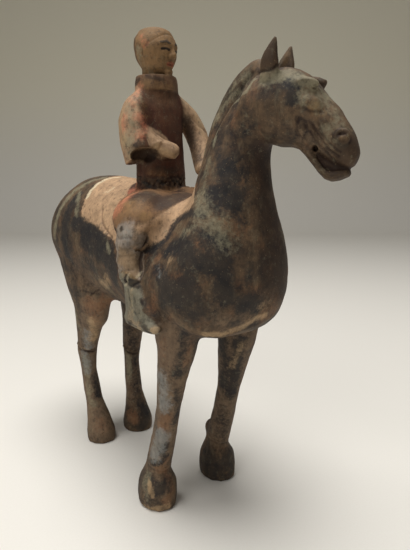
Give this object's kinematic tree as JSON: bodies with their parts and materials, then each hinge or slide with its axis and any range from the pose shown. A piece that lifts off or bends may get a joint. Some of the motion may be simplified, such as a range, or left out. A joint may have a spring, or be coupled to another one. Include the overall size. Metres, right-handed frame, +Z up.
{
  "type": "horse and rider figure",
  "caption": "Painted pottery figure of a standing horse with a rider in a long robe seated on its back, for display on a level surface.",
  "frame": {"origin": "centre of the bounding box's footprint, on the ground plane of the hooves", "axes": "+X the way the horse's body faces, +Y its left side, +Z up"},
  "size_m": [0.285, 0.1014, 0.3199],
  "materials": {
    "painted_clay": "unglazed low-fired clay with worn cold paint in dark grey, buff and red"
  },
  "bodies": {
    "root": {"horse_and_rider": "painted_clay"}
  },
  "joints": []
}
